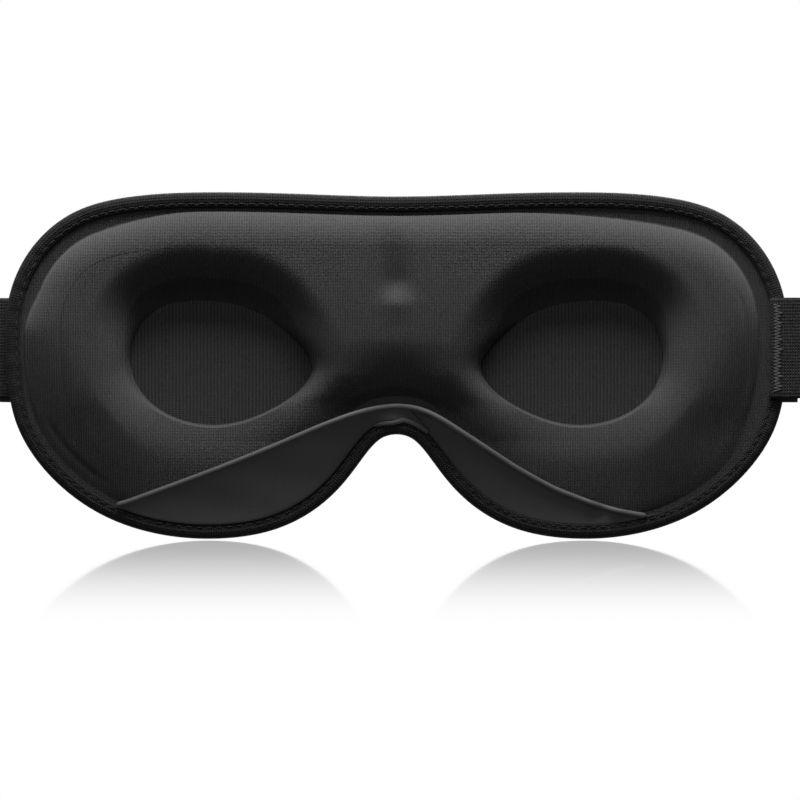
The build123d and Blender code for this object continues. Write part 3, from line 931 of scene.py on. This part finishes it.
@dataclass
class NoseFlap:
    """Two satin wings sewn along the lower rim, lapped at the nose, with a folded hem."""

    form: MaskForm
    free_edge: tuple[tuple[float, float], ...] = (
        (-84.0, -47.4), (-68.0, -41.3), (-52.0, -35.1), (-38.0, -29.4), (-23.3, -23.1),
        (-14.0, -19.8), (-6.5, -18.0), (1.0, -17.2), (7.0, -18.1), (12.5, -20.4), (23.9, -27.6),
        (35.6, -35.4), (47.0, -41.9), (58.4, -46.4), (66.2, -48.9), (77.5, -50.9),
    )
    sewn_inset: float = 4.3 * MM
    base: float = 7.3 * MM
    nose_back: float = 4.6 * MM
    stand: float = 1.0 * MM
    ply: float = 0.35 * MM
    hem_radius: float = 0.85 * MM
    fold_radius: float = 0.75 * MM
    fold_proud: float = 0.8 * MM
    left_cut: Cut = Cut(0.090, 0.0203, 0.00117)
    right_cut: Cut = Cut(0.084, 0.019, 0.00075)
    back_cut: Cut = Cut(0.1575, 0.0361, 0.00188)

    def limits(self, x: Array) -> tuple[Array, Array]:
        """Height of the sewn line and of the free edge at each x."""
        loop = self.form.rim(self.sewn_inset, 1920)
        low = loop[loop[:, 1] < -20 * MM]
        order = np.argsort(low[:, 0])
        sewn = np.interp(x, low[order, 0], low[order, 1])
        knots = np.array(self.free_edge) * MM
        fine = np.linspace(knots[0, 0], knots[-1, 0], 400)
        free = np.interp(fine, knots[:, 0], knots[:, 1])
        kernel = np.hanning(31) / np.hanning(31).sum()
        free = np.convolve(np.pad(free, 15, mode="edge"), kernel, mode="valid")
        return sewn, np.maximum(np.interp(x, fine, free), sewn)

    def surface(self, x: Array, share: Array, offset: float) -> Array:
        """Cloth that leaves the sewn line, follows the pad's lower edge and stands off it.

        Args:
            x: places across the mask, as a column or a whole grid.
            share: 0 on the sewn line to 1 on the free edge, as a row.
            offset: distance behind the outer ply.

        Returns:
            The grid of points.
        """
        wide = np.broadcast_to(x, np.broadcast_shapes(x.shape, share.shape))
        sewn, free = self.limits(wide)
        z = sewn + (free - sewn) * share
        base = self.form.wrap(wide) + self.base
        front = self.form.wrap(wide) + self.form.belly(z) + self.nose_back * bell(wide, 11 * MM)
        y = base + (front - base) * share**0.75
        tall = np.clip((free - sewn) / (20 * MM), 0, 1)
        rise = self.stand * share**0.5 + 0.5 * MM * tall * share**2
        left = smooth_step((-wide - 4 * MM) / (30 * MM))
        rise = rise + 0.9 * MM * left * tall * share
        fold = 0.14 * MM * np.sin((wide + 1.9 * z) / (6.2 * MM)) * share * (1 - share) * 4 * tall
        tip = 0.5 * MM * np.sin((wide - z) / (1.9 * MM)) * bell(wide - 63 * MM, 7 * MM) * share
        nose = np.sin((wide * 0.55 + z) / (1.7 * MM)) * bell(wide - 5 * MM, 8 * MM) * (1 - share)
        y = y - rise + fold + tip + 0.48 * MM * nose + offset
        return np.stack([wide, y, z], -1)

    def wing(self, name: str, start: float, end: float, offset: float, slant: float,
             nodes: Sequence[str]) -> bpy.types.Object:
        """One panel of the flap between two places across the mask.

        Args:
            name: the piece's name.
            start: X of its left end.
            end: X of its right end.
            offset: distance behind the outer ply.
            slant: how far the right end leans out at the seam.
            nodes: CAD nodes that it stands for.

        Returns:
            The panel.
        """
        share = np.linspace(0, 0.985, 26)[None]
        along = np.linspace(0, 1, 190)[:, None]
        x = start + (end - start) * along + slant * (1 - share) * along**4
        points = self.surface(x, share, offset)
        mesh = grid_mesh(name, points, flat_uv(points))
        piece = show(mesh, SatinCloth(name + "_satin").material())
        self.hang(piece, nodes)
        thicken(piece, self.ply, 1.0)
        soften(piece)
        return piece

    def hang(self, piece: bpy.types.Object, nodes: Sequence[str]) -> None:
        """Hides the CAD nodes that a piece stands for and bakes its transform into its mesh."""
        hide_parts(*nodes)
        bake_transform(piece)

    def hem(self) -> None:
        """Thin rolled edge along the whole free edge, in a lighter copy of the satin as a painted
        highlight.
        """
        x = np.linspace(self.free_edge[0][0], self.free_edge[-1][0], 260)[:, None] * MM
        points = self.surface(x, np.array([[0.97]]), -0.2 * MM)[:, 0]
        tall = np.subtract(*self.limits(x[:, 0])[::-1])
        points = points[tall > 0.4 * MM]
        mesh = tube("flap_edge_hem", points, self.hem_radius, sides=10, flat=0.8)
        # painted highlight: the hem's satin is lighter than the flap's, standing in for light on the
        # rolled edge
        piece = show(mesh, SatinCloth("hem_satin_painted_highlight", tone=0.036).material())
        self.hang(piece, ["flap_hem"])

    def fold(self) -> None:
        """Soft creases where the left wing laps over the right one, low on the nose notch."""
        satin = SatinCloth("fold_satin", tone=0.030).material()
        lines = {
            "nose_fold_left": (
                (-17.0, -24.2), (-12.0, -23.3), (-6.0, -22.9), (-1.0, -22.5), (2.5, -21.7)),
            "nose_fold_right": ((1.0, -21.5), (4.0, -22.2), (7.0, -23.6), (9.6, -25.4)),
        }
        for name, knots in lines.items():
            plane = np.array(knots) * MM
            t = np.linspace(0, len(plane) - 1, 40)
            x, z = (np.interp(t, np.arange(len(plane)), part) for part in plane.T)
            y = self.form.wrap(x) + self.base - self.fold_proud
            mesh = tube(name, np.stack([x, y, z], 1), self.fold_radius, sides=10, flat=0.5)
            piece = show(mesh, satin)
            soften(piece)
            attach(piece, "mask")

    def build(self) -> None:
        """Left wing laps over the right one at the nose; the lining backs both."""
        first, last = self.free_edge[0][0] * MM, self.free_edge[-1][0] * MM
        self.wing("flap_wing_left", first, 2.0 * MM, -0.7 * MM, 7.0 * MM, ["flap_panel_left"])
        self.wing("flap_wing_right", -5.0 * MM, last, 0.0, 0.0, ["flap_panel_right"])
        self.wing("flap_back_ply", first + 2 * MM, last - 2 * MM, 0.45 * MM, 0.0, ["flap_lining"])
        self.hem()
        self.fold()


# ---------------------------------------------------------------- the strap


@dataclass
class Ribbon:
    """Flat elastic band: a rounded section carried along a path in the XY plane."""

    width: float = 30.0 * MM
    thickness: float = 1.4 * MM
    across: int = 30

    def mesh(self, name: str, path: Array, middle: float = 0.0) -> bpy.types.Mesh:
        """Section points follow the path's normal and Z; both ends are closed.

        Args:
            name: the mesh's name.
            path: points (x, y) along the band's middle.
            middle: height of the band's centre line.

        Returns:
            The band's mesh, with U along it and V across it.
        """
        along = unit(np.gradient(path, axis=0))
        normal = np.stack([along[:, 1], -along[:, 0]], 1)
        half = self.width / 2
        swing = np.linspace(-np.pi / 2, np.pi / 2, self.across) * 0.94
        z = half * np.sin(swing) / np.sin(0.47 * np.pi)
        edge = np.clip((half - np.abs(z)) / (0.9 * MM), 0, 1)
        bulk = self.thickness / 2 * (0.35 + 0.65 * round_over(edge))
        bulk = bulk * (1 + 0.05 * np.cos(z / (2.1 * MM)))
        section_n = np.concatenate([bulk, -bulk[::-1]])
        section_z = np.concatenate([z, z[::-1]])
        travel = travelled(path)
        ripple = 0.12 * MM * np.sin(travel / (4.3 * MM))[:, None] * (np.abs(section_z) > half * 0.9)
        points = np.empty((len(path), len(section_n), 3))
        points[..., :2] = path[:, None] + normal[:, None] * section_n[None, :, None]
        points[..., 2] = middle + section_z[None] + ripple * np.sign(section_z)[None]
        ends = [np.repeat(points[i].mean(0)[None, None], len(section_n), 1) for i in (0, -1)]
        ends = [np.stack([e[0, :, 0], e[0, :, 1], section_z + middle], -1)[None] for e in ends]
        body = np.concatenate([ends[0], points, ends[1]])
        u = np.concatenate([travel[:1], travel, travel[-1:]])
        v = np.append(section_z + half, section_z[0] + half)
        uv = np.stack(np.meshgrid(u, v, indexing="ij"), -1)
        return joined(name, [grid_mesh(name, body, uv, ring=True, flip=True)], gap=0.002 * MM)


def arc(centre: Array, radius: float, start: float, end: float, count: int) -> Array:
    """Points on a circle in the XY plane between two angles in degrees."""
    angle = np.radians(np.linspace(start, end, count))
    return centre + radius * np.stack([np.cos(angle), np.sin(angle)], 1)


def straight(start: tuple[float, float], end: tuple[float, float], count: int) -> Array:
    """Even points from start to end."""
    return np.linspace(start, end, count)


def zigzag(name: str, x: float, y: float, width: float, height: float,
           pitch: float) -> bpy.types.Mesh:
    """Thread in an uneven triangle wave up a band: X swings by width as Z climbs by pitch."""
    steps = int(height / pitch) * 2
    corner = np.arange(steps + 1)
    fine = np.linspace(0, steps, steps * 4 + 1)
    uneven = 1 + 0.16 * np.sin(2.3 * corner) + 0.12 * np.sin(5.1 * corner)
    swing = np.interp(fine, corner, (corner % 2) * width * uneven)
    z = -height / 2 + fine * height / steps
    path = np.stack([x + swing, np.full_like(z, y), z], 1)
    return tube(name, path, 0.22 * MM, sides=6)


@dataclass
class HeadStrap:
    """Elastic strap from both mask ends round to the slider, with its sewn ends and tail."""

    ribbon: Ribbon = field(default_factory=Ribbon)
    lobe_tip: float = 112.0 * MM
    tack_width: float = 1.8 * MM
    tack_height: float = 25.0 * MM
    tack_pitch: float = 0.9 * MM
    end_tack_width: float = 2.2 * MM
    end_tack_height: float = 26.0 * MM
    end_tack_pitch: float = 1.0 * MM
    weave: bpy.types.Material = field(init=False)
    thread: bpy.types.Material = field(init=False)

    def __post_init__(self) -> None:
        """Reads the strap's places from the CAD model."""
        self.weave = ElasticTape("strap_weave", tone=0.013, depth=0.35 * MM).material()
        self.thread = SewingThread("tack_thread", tone=0.055).material()
        self.run_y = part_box("strap_left")[1].y - self.ribbon.thickness / 2
        self.turn_x = -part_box("strap_end_left")[0].x + 0.3 * MM
        frame_low, frame_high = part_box("slider_frame")
        self.slider_x = (frame_low.x + frame_high.x) / 2
        loop_low, loop_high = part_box("strap_bar_loop")
        self.leg = (loop_low.y + self.ribbon.thickness / 2, loop_high.y - self.ribbon.thickness / 2)
        self.loop_end = loop_high.x
        self.tail_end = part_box("tail_band")[0].x
        travel = next(j for j in frame["joints"] if j["name"] == "slider_travel")
        self.limit = abs(travel["range_m"][0])

    def piece(self, name: str, path: Array, nodes: Sequence[str],
              ribbon: Ribbon | None = None) -> bpy.types.Object:
        """A band along a path, standing for CAD nodes."""
        mesh = (ribbon or self.ribbon).mesh(name, path)
        piece = show(mesh, self.weave)
        if nodes:
            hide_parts(*nodes)
        return piece

    def lobe(self, side: Side) -> None:
        """Sewn end, half turn and the start of the back run."""
        label = side.name.lower()
        low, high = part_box("strap_end_" + label)
        y = (low.y + high.y) / 2
        tip = side.value * self.lobe_tip
        turn = side.value * self.turn_x
        radius = (self.run_y - y) / 2
        centre = np.array([turn, y + radius])
        start = straight((tip, y), (turn, y), 12)
        swing = (-90, 90) if side is Side.RIGHT else (270, 90)
        bend = arc(centre, radius, *swing, 70)[1:]
        path = np.concatenate([start, bend])
        piece = self.piece("strap_lobe_" + label, path, ["strap_end_" + label, "strap_" + label])
        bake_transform(piece)

    def left_run(self) -> None:
        """Straight back run, rising to meet its fold."""
        x = np.linspace(-self.turn_x, self.slider_x - 1.0 * MM, 90)
        rise = smooth_step((x - self.slider_x + 24 * MM) / (20 * MM))
        y = self.run_y + (self.leg[0] - self.run_y) * rise
        piece = self.piece("strap_run_left", np.stack([x, y], 1), [])
        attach(piece, "strap_loop")
        length = float(x[-1] - x[0])
        (length - self.limit) / length
        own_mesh(piece)

    def right_run(self) -> None:
        """Back run from the right lobe to the sewn loop."""
        x = np.linspace(self.turn_x, self.loop_end + 0.2 * MM, 40)
        middle = (self.leg[0] + self.leg[1]) / 2
        rise = smooth_step((self.turn_x - x - 14 * MM) / (26 * MM))
        path = np.stack([x, self.run_y + (middle - self.run_y) * rise], 1)
        piece = self.piece("strap_run_right", path, [])
        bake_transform(piece)

    def bar_pieces(self) -> None:
        """The strap's turn round the middle bar and the sewn loop round the right bar."""
        middle = (self.leg[0] + self.leg[1]) / 2
        radius = (self.leg[1] - self.leg[0]) / 2
        fold_low, fold_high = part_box("strap_fold")
        centre = np.array([fold_high.x - radius - self.ribbon.thickness / 2, middle])
        path = np.concatenate([
            straight((self.slider_x - 4 * MM, self.leg[0]), tuple(centre - (0, radius)), 8),
            arc(centre, radius, -90, 90, 24)[1:],
            straight(tuple(centre + (0, radius)), (fold_low.x - 0.3 * MM, self.leg[1]), 14)[1:],
        ])
        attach(self.piece("strap_bar_fold", path, ["strap_fold"]), "slider")
        loop_low, loop_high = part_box("strap_bar_loop")
        centre = np.array([loop_low.x + radius + self.ribbon.thickness / 2, middle])
        end = loop_high.x
        thin = self.ribbon.thickness / 2 + 0.05 * MM
        taper = straight((end, middle - thin), (end - 8 * MM, self.leg[0]), 12)
        spread = smooth_step(np.linspace(0, 1, 12))
        taper[:, 1] = middle - thin + (self.leg[0] - middle + thin) * spread
        back = taper[::-1].copy()
        back[:, 1] = 2 * middle - back[:, 1]
        path = np.concatenate([
            taper, straight(tuple(taper[-1]), tuple(centre - (0, radius)), 8)[1:],
            arc(centre, radius, 270, 90, 24)[1:],
            straight(tuple(centre + (0, radius)), tuple(back[0]), 8)[1:], back[1:],
        ])
        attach(self.piece("strap_sewn_loop", path, ["strap_bar_loop"]), "slider")
        tack_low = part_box("bar_loop_tack")[0]
        y = middle + self.ribbon.thickness + 0.2 * MM
        mesh = zigzag("loop_zigzag", tack_low.x + 3 * MM, y, self.tack_width, self.tack_height,
                      self.tack_pitch)
        piece = show(mesh, self.thread)
        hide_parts("bar_loop_tack")
        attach(piece, "slider")

    def tail(self) -> None:
        """Free end over the back run, with its turned hem and thread bar."""
        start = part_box("strap_fold")[0].x - 0.1 * MM
        x = np.linspace(start, self.tail_end, 60)
        lie = smooth_step((start - x) / (30 * MM))
        y = self.leg[1] - 1.6 * MM * lie
        piece = self.piece("strap_tail_band", np.stack([x, y], 1), ["tail_band"])
        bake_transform(piece)
        low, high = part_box("tail_hem")
        hem_y = y[-1] + self.ribbon.thickness / 2 + 0.6 * MM
        ply = Ribbon(thickness=1.1 * MM)
        path = straight((high.x, hem_y), (low.x, hem_y), 10)
        hem = self.piece("strap_tail_hem", path, ["tail_hem"], ply)
        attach(hem, "strap_tail")
        mesh = zigzag("tail_zigzag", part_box("tail_tack")[0].x, hem_y + 0.65 * MM, self.tack_width,
                      self.tack_height, self.tack_pitch)
        tack = show(mesh, self.thread)
        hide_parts("tail_tack")
        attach(tack, "strap_tail")

    def sewn_ends(self) -> None:
        """Smooth backing plies, dark as painted shade under the strap's sewn ends, and zigzag tacks
        at both mask ends.
        """
        # painted shade: the backing plies are real pieces, but their satin is much darker than the
        # flap's to stand in for shade on the strap's lower band
        satin = SatinCloth("backing_satin_painted_shade", tone=0.012).material()
        for side in Side:
            label = side.name.lower()
            low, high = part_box("strap_backing_" + label)
            ply = Ribbon(width=high.z - low.z, thickness=high.y - low.y, across=20)
            middle = (low.y + high.y) / 2
            path = straight((low.x, middle), (high.x, middle), 10)
            mesh = ply.mesh("backing_ply_" + label, path, (low.z + high.z) / 2)
            piece = show(mesh, satin)
            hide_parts("strap_backing_" + label)
            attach(piece, "mask")
            low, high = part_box("strap_tack_" + label)
            end_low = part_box("strap_end_" + label)[0]
            y = end_low.y - 0.12 * MM if side is Side.RIGHT else high.y - 0.1 * MM
            start = end_low.x + 1.0 * MM if side is Side.RIGHT else low.x
            mesh = zigzag("end_zigzag_" + label, start, y, self.end_tack_width,
                          self.end_tack_height, self.end_tack_pitch)
            tack = show(mesh, self.thread)
            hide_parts("strap_tack_" + label)
            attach(tack, "mask")

    def build(self) -> None:
        """Makes every band of the strap."""
        for side in Side:
            self.lobe(side)
        self.left_run()
        self.right_run()
        self.bar_pieces()
        self.tail()
        self.sewn_ends()


@dataclass
class CadFinishes:
    """Materials for the CAD pieces that stay as they are."""

    def build(self) -> None:
        """Dresses the slider and the hidden liner."""
        finishes = {
            "slider_frame": MouldedPlastic("slider_plastic").material(),
            "blackout_liner": SatinCloth("liner_film", tone=0.008).material(),
        }
        for node, material in finishes.items():
            piece = frame["nodes"][node]
            for entry in piece.material_slots:
                entry.material = material
            LOG.info("%s keeps its CAD shape", node)


# ---------------------------------------------------------------- the studio


@dataclass
class Studio:
    """Pale floor, white surroundings, soft lights and the camera."""

    distance: float = 1.6
    span: float = 0.240
    aim: Point = (0.00105, 0.0, -0.0156)
    sensor: float = 36.0
    ambient: float = 0.045
    fade_from: float = -0.62
    fade_to: float = -0.02
    gloss: float = 0.55
    floor_half: float = 6.0
    floor_gap: float = 0.2 * MM

    def camera(self) -> None:
        """Level camera on the padded side with a long lens."""
        data = bpy.data.cameras.new("camera")
        data.sensor_width = self.sensor
        data.lens = self.sensor * self.distance / self.span
        camera = bpy.data.objects.new("camera", data)
        camera.location = (self.aim[0], -self.distance, self.aim[2])
        camera.rotation_euler = (np.pi / 2, 0, 0)
        bpy.context.scene.collection.objects.link(camera)
        bpy.context.scene.camera = camera

    def lamp(self, name: str, place: Point, size: float, power: float) -> None:
        """Square area light aimed at the mask."""
        data = bpy.data.lights.new(name, "AREA")
        data.size = size
        data.energy = power
        light = bpy.data.objects.new(name, data)
        light.location = place
        target = np.array(self.aim) - np.array(place)
        light.rotation_euler = Vector(target).to_track_quat("-Z", "Y").to_euler()
        bpy.context.scene.collection.objects.link(light)

    def world(self) -> None:
        """White to the camera and in reflections, but dim as a light, so black cloth stays dark."""
        world = bpy.data.worlds.new("studio")
        world.use_nodes = True
        tree = world.node_tree
        tree.nodes.clear()
        paths = tree.nodes.new("ShaderNodeLightPath")
        seen = Socket(tree, paths.outputs["Is Camera Ray"])
        shade = seen.most(Socket(tree, paths.outputs["Is Glossy Ray"])).most(self.ambient)
        glow = tree.nodes.new("ShaderNodeBackground")
        glow.inputs["Color"].default_value = WHITE
        tree.links.new(shade.socket, glow.inputs["Strength"])
        output = tree.nodes.new("ShaderNodeOutputWorld")
        tree.links.new(glow.outputs[0], output.inputs[0])
        bpy.context.scene.world = world

    def plane(self, name: str, corners: Sequence[Point],
              material: bpy.types.Material) -> bpy.types.Object:
        """Flat stage piece that only the camera and mirrors see."""
        mesh = bpy.data.meshes.new(name)
        mesh.from_pydata(list(corners), [], [(0, 1, 2, 3)])
        mesh.materials.append(material)
        piece = bpy.data.objects.new(name, mesh)
        bpy.context.scene.collection.objects.link(piece)
        piece.visible_diffuse = False
        piece.visible_shadow = False
        return piece

    def floor(self) -> None:
        """Pale floor with a mirror gloss that fades away in front of the mask."""
        dress = Dress("studio_floor")
        tree = dress.tree
        _, y, _ = dress.place("Object")
        fade = dress.node("ShaderNodeMapRange", {"interpolation_type": "SMOOTHSTEP"},
                          {"Value": y, "From Min": self.fade_from, "From Max": self.fade_to,
                           "To Min": 0.0, "To Max": self.gloss})
        glow = tree.nodes.new("ShaderNodeEmission")
        glow.inputs["Color"].default_value = WHITE
        mirror = tree.nodes.new("ShaderNodeBsdfGlossy")
        mirror.inputs["Roughness"].default_value = 0.03
        mirror.inputs["Color"].default_value = WHITE
        mix = tree.nodes.new("ShaderNodeMixShader")
        tree.links.new(fade.socket, mix.inputs[0])
        tree.links.new(glow.outputs[0], mix.inputs[1])
        tree.links.new(mirror.outputs[0], mix.inputs[2])
        output = next(n for n in tree.nodes if n.type == "OUTPUT_MATERIAL")
        tree.links.new(mix.outputs[0], output.inputs[0])
        z, reach = CAD_BOX[0].z - self.floor_gap, self.floor_half
        corners = [(-reach, -reach, z), (reach, -reach, z), (reach, reach, z), (-reach, reach, z)]
        floor = self.plane("floor", corners, dress.material)
        floor.visible_glossy = False

    def build(self) -> None:
        """Sets up the whole studio."""
        self.camera()
        self.world()
        self.floor()
        self.lamp("key_above", (0.0, -0.32, 1.15), 0.6, 47.0)
        self.lamp("front_fill", (-0.15, -1.40, 0.8), 0.8, 8.0)
        self.lamp("back_above", (0.15, 1.3, 0.8), 0.9, 48.0)
        bpy.context.scene.view_settings.view_transform = "Standard"
        bpy.context.scene.view_settings.look = "None"


def main() -> None:
    """Builds every piece in order, then the studio."""
    logging.basicConfig(level=logging.INFO)
    form = MaskForm()
    PadCover(form).build()
    for side in Side:
        CupFloor(form, side).build()
    OuterCover(form).build()
    EdgeBinding(form).build()
    NoseFlap(form).build()
    HeadStrap().build()
    CadFinishes().build()
    Studio().build()


if __name__ == "__main__":
    main()
